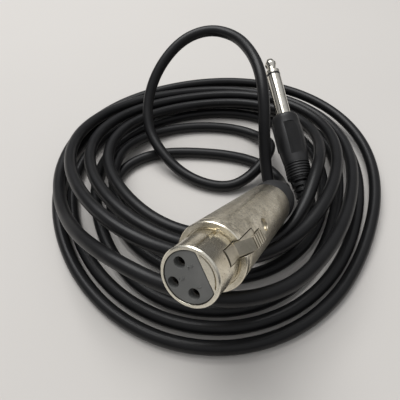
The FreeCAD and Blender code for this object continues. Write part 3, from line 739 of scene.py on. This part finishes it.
@dataclass
class AudioCable:
    """The whole cable from one plug to the other: a lead, the wound coil and a long lead.

    Lengths are in millimetres. Each bend pushes the coil outward and up near one place: the turn
    where it peaks, its width in turns, and how far it pushes out and up. The routes are the
    points of the leads, from the boot to the coil and from the coil to the jack.
    """

    diameter: float = 5.0
    layer: float = 5.7
    turn_start: float = 0.1
    turn_end: float = 7.25
    widest_turn: float = 3.5
    wide_r: float = 77.4
    step_out: float = 8.8
    step_in: float = 7.5
    blunt: float = 0.15
    inset: float = 4.5
    shift_right: float = 1.2
    lean: float = 0.13
    shift_upper: float = 1.0
    lean_upper: float = 0.1
    climb_start: float = 3.3
    climb_turns: float = 0.45
    inset_start: float = 3.55
    oval: float = 2.2
    skew: float = 1.8
    point: float = 2.6
    point_side: float = 1.0
    round_start: float = 0.35
    round_turns: float = 2.2
    crest_deg: float = 345.0
    crest_sharp: float = 1.3
    pile_start: float = 3.95
    pile_turns: float = 0.25
    pile_h: float = 16.0
    rise_start: float = 4.3
    rise_turns: float = 0.6
    rise_h: float = 6.0
    fall_start: float = 5.2
    fall_h: float = 5.5
    points_per_turn: int = 24
    probe: float = 1e-4
    ring_steps: int = 7
    span_steps: int = 8
    exit_run: float = 5.0
    jack_run: float = 3.0
    coil_run: float = 6.0
    bends: tuple[tuple[float, float, float, float], ...] = (
        (0.385, 0.07, 0.5, 0.0),
        (1.2, 0.085, 3.4, 0.0),
        (1.32, 0.07, 1.6, 0.0),
        (2.02, 0.115, 1.4, 0.0),
        (2.15, 0.115, 2.1, 0.0),
        (2.29, 0.115, 0.9, 0.0),
        (2.43, 0.115, 0.6, 0.0),
        (3.2, 0.1, 1.8, 0.0),
        (3.4, 0.06, -1.0, 0.0),
        (4.185, 0.065, 2.0, 7.0),
        (4.27, 0.06, 5.0, 0.0),
        (5.306, 0.08, -2.8, -7.5),
        (5.52, 0.2, 0.0, 3.8),
        (6.326, 0.085, 0.95, -8.1),
        (6.45, 0.075, 0.7, 2.1),
        (6.47, 0.17, -0.9, 6.0),
    )
    socket_route: tuple[tuple[float, float, float], ...] = (
        (30.2, -16.6, 11.6), (30.6, -10.4, 6.2), (31.0, -3.0, 3.0), (27.5, 4.5, 2.6),
        (20.0, 11.0, 2.6), (8.0, 15.3, 2.6), (-7.0, 17.3, 2.6), (-21.0, 17.4, 2.6),
        (-32.5, 14.5, 2.6), (-40.8, 8.0, 2.6), (-44.8, -0.5, 2.6), (-45.8, -9.5, 2.6),
    )
    jack_route: tuple[tuple[float, float, float], ...] = (
        (14.5, -45.2, 14.0), (21.5, -40.6, 11.0), (25.4, -33.5, 9.2), (26.2, -25.2, 7.6),
        (24.0, -16.8, 10.2), (22.0, -9.9, 17.2), (20.9, -3.5, 26.5), (20.6, 5.0, 38.0),
        (19.6, 18.0, 45.8),
        (16.3, 32.0, 48.5), (10.0, 46.5, 49.0), (-2.0, 55.0, 48.0), (-15.5, 52.8, 43.5),
        (-26.8, 43.6, 33.5), (-32.2, 32.6, 21.8), (-31.0, 21.0, 13.2), (-24.5, 10.5, 8.2),
        (-15.5, 1.5, 4.0), (-4.0, -5.5, 2.8), (8.0, -7.5, 2.8), (18.0, -2.0, 5.2),
        (26.3, 7.6, 9.6), (29.0, 18.0, 7.8), (25.0, 28.5, 3.6), (15.0, 36.0, 2.6),
        (0.0, 38.8, 2.6), (-16.0, 37.6, 2.6), (-30.0, 32.0, 3.2), (-40.0, 21.5, 5.4),
        (-45.2, 8.5, 7.9), (-45.6, -7.0, 8.2), (-40.0, -22.0, 8.2), (-28.5, -33.5, 7.4),
        (-14.5, -40.5, 4.8), (0.5, -43.0, 3.0), (13.5, -43.2, 2.6), (20.5, -42.3, 2.6),
        (27.8, -39.4, 3.0), (34.0, -34.6, 4.7), (38.4, -30.8, 6.3),
    )
    boot_length: float = 14.4

    @staticmethod
    def ease(t: float) -> float:
        """Returns an even start and stop from 0 to 1."""
        t = min(1.0, max(0.0, t))
        return t * t * (3 - 2 * t)

    def coil_point(self, tau: float) -> Vector:
        """Follows the wound cable.

        Args:
            tau: Turns from the coil's left side.

        Returns:
            The middle of the cable there, in millimetres.
        """
        a = 1.5 * math.pi + math.tau * tau
        past = tau - self.widest_turn
        step = self.step_out if past < 0 else self.step_in
        mean = self.wide_r - step * (math.sqrt(past * past + self.blunt ** 2) - self.blunt)
        up = self.ease((tau - self.climb_start) / self.climb_turns)
        shape = self.oval * math.cos(2 * a) - self.skew * math.sin(2 * a)
        shape += self.point * math.cos(3 * a) + self.point_side * math.sin(3 * a)
        inward = self.ease((tau - self.inset_start) / self.climb_turns)
        r = mean - self.inset * inward
        r += shape * self.ease(self.round_start + tau / self.round_turns)
        narrow = self.wide_r - mean
        r += (1 - inward) * (self.shift_right * math.sin(a) + self.lean * narrow * math.cos(a))
        r -= inward * (self.shift_upper * math.sin(a) + self.lean_upper * narrow * math.cos(a))
        pile = self.pile_h * self.ease((tau - self.pile_start) / self.pile_turns)
        pile += self.rise_h * self.ease((tau - self.rise_start) / self.rise_turns)
        pile -= self.fall_h * max(0.0, tau - self.fall_start)
        z = self.diameter / 2 + self.layer * up
        crest = (1 + math.cos(a - math.radians(self.crest_deg))) / 2
        z += pile * crest ** self.crest_sharp
        for turn, span, out, rise in self.bends:
            share = math.exp(-((tau - turn) / span) ** 2)
            r += out * share
            z += rise * share
        return Vector((r * math.sin(a), -r * math.cos(a), z))

    def heading(self, tau: float) -> Vector:
        """Returns the way that the wound cable runs after tau turns."""
        low, high = max(self.turn_start, tau - self.probe), min(self.turn_end, tau + self.probe)
        return (self.coil_point(high) - self.coil_point(low)).normalized()

    def route(self) -> list[Vector]:
        """Joins the leads and the coil.

        Returns:
            The cable's control points in row metres, from the boot to the jack.
        """
        socket, jack = SOCKET_POSE.matrix(), JACK_POSE.matrix()
        start = self.heading(self.turn_start)
        end = self.heading(self.turn_end)
        run = self.diameter + self.coil_run
        points = [Vector(p) for p in self.socket_route]
        points.append(self.coil_point(self.turn_start) - start * run)
        turns = self.turn_end - self.turn_start
        count = round(turns * self.points_per_turn)
        points += [self.coil_point(self.turn_start + turns * i / count) for i in range(count + 1)]
        points.append(self.coil_point(self.turn_end) + end * run)
        points += [Vector(p) for p in self.jack_route]
        points = [(p + COIL_CENTRE) * MM for p in points]
        boot = self.boot_length
        first = [socket @ Vector((0, 0, -boot)), socket @ Vector((0, 0, -boot - self.exit_run))]
        last = [jack @ Vector((0, 0, -self.jack_run)), jack @ Vector()]
        return first + points + last

    def build(self, material: bpy.types.Material) -> bpy.types.Object:
        """Args:
            material: The jacket's material.

        Returns:
            The curve object.
        """
        curve = bpy.data.curves.new("cable_jacket", "CURVE")
        curve.dimensions = "3D"
        curve.bevel_depth = self.diameter / 2 * MM
        curve.bevel_resolution = self.ring_steps
        curve.resolution_u = self.span_steps
        curve.use_fill_caps = True
        spline = curve.splines.new("NURBS")
        points = self.route()
        spline.points.add(len(points) - 1)
        for slot, p in zip(spline.points, points):
            slot.co = (*p, 1.0)
        spline.order_u = 3
        spline.use_endpoint_u = True
        spline.use_smooth = True
        curve.materials.append(material)
        piece = bpy.data.objects.new("cable_jacket", curve)
        bpy.context.scene.collection.objects.link(piece)
        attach(piece, "cable_set")
        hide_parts("cable_coil", "cable_lead_xlr", "cable_lead_jack")
        return piece


def spline_points(piece: bpy.types.Object) -> list[Vector]:
    """Finds the middle line of a bevelled curve.

    Args:
        piece: The curve object.

    Returns:
        The points that its spline passes through.
    """
    bare = piece.data.copy()
    bare.bevel_depth = 0.0
    probe = bpy.data.objects.new("probe", bare)
    mesh = bpy.data.meshes.new_from_object(probe)
    points = [v.co.copy() for v in mesh.vertices]
    bpy.data.objects.remove(probe)
    bpy.data.meshes.remove(mesh)
    bpy.data.curves.remove(bare)
    return points


# The stage.


@dataclass
class Studio:
    """Pale floor, soft light from above and the camera."""

    floor_colour: Colour = (0.66, 0.635, 0.60)
    floor_shade: float = 0.985
    floor_rough: float = 0.75
    floor_clouds: Waves = Waves(9.0, 2.0)
    cloud_span: Span = (0.3, 0.7)
    floor_half: float = 3.0
    camera_at: tuple[float, float, float] = (-0.0083, -0.1270, 0.1308)
    camera_down: float = 47.3
    lens: float = 35.28
    sensor: float = 36.0
    nearest: float = 0.01
    lamp_at: tuple[float, float, float] = (-0.3, 0.45, 1.15)
    lamp_size: float = 0.9
    lamp_watts: float = 12.0
    sky: Colour = (0.97, 0.975, 1.0)
    wall: float = 0.03
    ceiling: float = 0.62
    ceiling_from: float = 0.9

    def build(self) -> None:
        """Makes the floor, the lamp, the world and the camera."""
        bpy.context.scene.view_settings.view_transform = "Standard"
        self.floor()
        self.lamp("key", self.lamp_at, self.lamp_size, self.lamp_watts)
        self.room()
        self.camera()

    def floor(self) -> None:
        """Makes the pale floor."""
        g = Graph("floor_paint")
        clouds = g.noise(g.place(), self.floor_clouds)
        shade = tuple(c * self.floor_shade for c in self.floor_colour)
        tint = g.mix(clouds.above(*self.cloud_span), self.floor_colour, shade)
        g.set(Base_Color=tint, Roughness=self.floor_rough)
        bm = bmesh.new()
        bmesh.ops.create_grid(bm, x_segments=1, y_segments=1, size=self.floor_half)
        mesh = bpy.data.meshes.new("floor")
        bm.to_mesh(mesh)
        bm.free()
        mesh.materials.append(g.material)
        floor = bpy.data.objects.new("floor", mesh)
        bpy.context.scene.collection.objects.link(floor)

    def room(self) -> None:
        """Makes the world: dim at the horizon and bright overhead."""
        world = bpy.data.worlds.new("room")
        bpy.context.scene.world = world
        world.use_nodes = True
        tree = world.node_tree
        source = tree.nodes.new("ShaderNodeTexCoord")
        split = tree.nodes.new("ShaderNodeSeparateXYZ")
        ramp = tree.nodes.new("ShaderNodeMapRange")
        ramp.inputs["From Min"].default_value = 0.0
        ramp.inputs["From Max"].default_value = self.ceiling_from
        ramp.inputs["To Min"].default_value = self.wall
        ramp.inputs["To Max"].default_value = self.ceiling
        tree.links.new(source.outputs["Generated"], split.inputs[0])
        tree.links.new(split.outputs["Z"], ramp.inputs["Value"])
        background = tree.nodes["Background"]
        tree.links.new(ramp.outputs[0], background.inputs["Strength"])
        background.inputs["Color"].default_value = (*self.sky, 1.0)

    def camera(self) -> None:
        """Makes the camera."""
        camera = bpy.data.cameras.new("camera")
        camera.lens = self.lens
        camera.sensor_width = self.sensor
        camera.clip_start = self.nearest
        holder = bpy.data.objects.new("camera", camera)
        holder.location = self.camera_at
        holder.rotation_euler = (math.radians(90 - self.camera_down), 0.0, 0.0)
        bpy.context.scene.collection.objects.link(holder)
        bpy.context.scene.camera = holder

    def lamp(self, name: str, at: tuple[float, float, float], size: float, watts: float) -> None:
        """Adds a square lamp that points at the object's middle.

        Args:
            name: The lamp's name.
            at: Its place in metres.
            size: Its side in metres.
            watts: Its power.
        """
        light = bpy.data.lights.new(name, "AREA")
        light.shape = "SQUARE"
        light.size = size
        light.energy = watts
        holder = bpy.data.objects.new(name, light)
        holder.location = at
        holder.rotation_euler = (-Vector(at)).to_track_quat("-Z", "Y").to_euler()
        bpy.context.scene.collection.objects.link(holder)


# The plugs.


@dataclass
class SocketPlug:
    """Metal-shelled plug with three sockets, a latch and a rubber boot."""

    boot_length: float = 14.4
    boot_r: float = 8.2
    boot_end_r: float = 3.4
    boot_bore_r: float = 2.55
    boot_lip: float = 0.5
    boot_lip_depth: float = 0.4
    boot_plug_r: float = 5.85
    boot_plug_length: float = 2.0
    boot_gap: float = 0.1
    boot_corner: float = 0.3
    swell_length: float = 9.4
    swell_steps: int = 16
    swell_power: float = 0.9
    round_steps: int = 64
    face: float = 60.7
    digit_height: float = 1.5
    digit_share: float = 0.7
    digit_raise: float = 0.1
    digits: tuple[tuple[str, float, float], ...] = (
        ("1", 1.3, -2.87), ("2", 1.5, 2.46), ("3", -2.25, 0.21))
    matrix: Matrix = field(default_factory=SOCKET_POSE.matrix)

    def boot(self, material: bpy.types.Material) -> bpy.types.Object:
        """Makes the rubber dome behind the shell.

        Args:
            material: Its material.

        Returns:
            The piece.
        """
        tip = -self.boot_length
        rise = self.boot_r - self.boot_end_r
        gap, corner = self.boot_gap, self.boot_corner
        profile = [(self.boot_bore_r, self.boot_plug_length),
                   (self.boot_bore_r, tip + self.boot_lip_depth),
                   (self.boot_end_r - self.boot_lip, tip), (self.boot_end_r, tip)]
        for i in range(1, self.swell_steps + 1):
            turn = math.pi / 2 * i / self.swell_steps
            profile.append((self.boot_end_r + rise * math.sin(turn) ** self.swell_power,
                            tip + self.swell_length * (1 - math.cos(turn))))
        profile += [(self.boot_r - gap, -corner), (self.boot_r - corner, -gap),
                    (self.boot_plug_r, -gap), (self.boot_plug_r, self.boot_plug_length)]
        bm = lathe(profile + [profile[0]], self.round_steps)
        piece = piece_from(bm, "rubber_boot", self.matrix, "cable_set", material)
        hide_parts("xlr_boot")
        return piece

    def numbers(self, material: bpy.types.Material) -> bpy.types.Object:
        """Makes the raised number beside each socket, upright towards the latch.

        Args:
            material: Their material.

        Returns:
            The piece.
        """
        bm = bmesh.new()
        for text, x, y in self.digits:
            font = bpy.data.curves.new("number", "FONT")
            font.body = text
            font.align_x = "CENTER"
            font.align_y = "CENTER"
            font.size = self.digit_height / self.digit_share
            font.extrude = self.digit_raise / 2
            probe = bpy.data.objects.new("number", font)
            mesh = bpy.data.meshes.new_from_object(probe)
            middle = Vector((x, y, self.face + self.digit_raise / 2))
            mesh.transform(Matrix.Translation(middle) @ Matrix.Rotation(-math.pi / 2, 4, "Z"))
            bm.from_mesh(mesh)
            bpy.data.objects.remove(probe)
            bpy.data.curves.remove(font)
            bpy.data.meshes.remove(mesh)
        bmesh.ops.remove_doubles(bm, verts=bm.verts, dist=WELD)
        return piece_from(bm, "insert_numbers", self.matrix, "cable_set", material)


def finishes() -> dict[bpy.types.Material, tuple[str, ...]]:
    """Makes the materials of the pieces that come from the CAD.

    Returns:
        The nodes that wear each material.
    """
    socket, jack = SOCKET_POSE.matrix(), JACK_POSE.matrix()
    latch = WornNickel("latch_nickel", (0.66, 0.61, 0.50), (0.48, 0.44, 0.35), pits=0.4,
                       roughness=0.22)
    insert = MouldedPlastic("insert_grey", (0.155, 0.157, 0.150), (0.2, 0.2, 0.19), 0.55)
    handle = GripPlastic("handle_black", (0.009, 0.009, 0.0095), (0.018, 0.018, 0.018), 0.42,
                         matrix=jack)
    shaft = TurnedNickel("jack_nickel", jack.to_3x3().col[2].normalized())
    steel = PlainMetal("pin_steel", (0.6, 0.6, 0.6), (0.4, 0.4, 0.4))
    # Painted shade: the contacts are darkened to stand in for the shade inside the socket holes;
    # their brown tint is tarnish.
    silver_with_painted_shade = PlainMetal("contact_silver", (0.34, 0.31, 0.26), (0.2, 0.18, 0.15))
    brass = PlainMetal("tag_brass", (0.7, 0.6, 0.38), (0.5, 0.42, 0.25))
    copper = PlainMetal("copper_strands", (0.72, 0.45, 0.3), (0.45, 0.25, 0.15), 0.4)
    red = MouldedPlastic("core_red", (0.4, 0.03, 0.03), (0.45, 0.06, 0.06), 0.4)
    white = MouldedPlastic("core_white", (0.7, 0.7, 0.68), (0.6, 0.6, 0.58), 0.4)
    clamp = MouldedPlastic("clamp_plastic", (0.03, 0.03, 0.03), (0.05, 0.05, 0.05), 0.45)
    ring = MouldedPlastic("ring_black", (0.012, 0.012, 0.012), (0.02, 0.02, 0.02), 0.3)
    return {
        ShellNickel(matrix=socket).make(): ("xlr_shell",),
        latch.make(): ("xlr_latch",),
        insert.make(): ("xlr_insert",),
        silver_with_painted_shade.make(): ("xlr_contact_1", "xlr_contact_2", "xlr_contact_3"),
        steel.make(): ("xlr_latch_pin", "xlr_latch_spring", "xlr_insert_screw"),
        clamp.make(): ("xlr_cable_clamp",),
        brass.make(): ("xlr_ground_tag", "jack_tip_lug", "jack_sleeve_lug"),
        copper.make(): ("xlr_shield_tail", "jack_shield_tail"),
        red.make(): ("xlr_core_hot", "jack_core"),
        white.make(): ("xlr_core_cold",),
        handle.make(): ("jack_handle",),
        shaft.make(): ("jack_tip", "jack_sleeve"),
        ring.make(): ("jack_insulator", "jack_rear_washer"),
    }


def main() -> None:
    """Builds every piece in order."""
    logging.basicConfig(level=logging.INFO, format="%(name)s: %(message)s")
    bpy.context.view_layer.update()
    Studio().build()

    jacket = JacketFinish().make()
    cable = AudioCable()
    cord = cable.build(jacket)
    line = spline_points(cord)

    plug = SocketPlug()
    rubber = MouldedPlastic("boot_rubber", (0.013, 0.013, 0.014), (0.026, 0.026, 0.026), 0.62)
    plug.boot(rubber.make())
    for material, nodes in finishes().items():
        for node in nodes:
            dress(node, material)
        if "xlr_insert" in nodes:
            plug.numbers(material)
    for node in ("xlr_cable_end", "jack_cable_end"):
        dress(node, jacket)


if __name__ == "__main__":
    main()
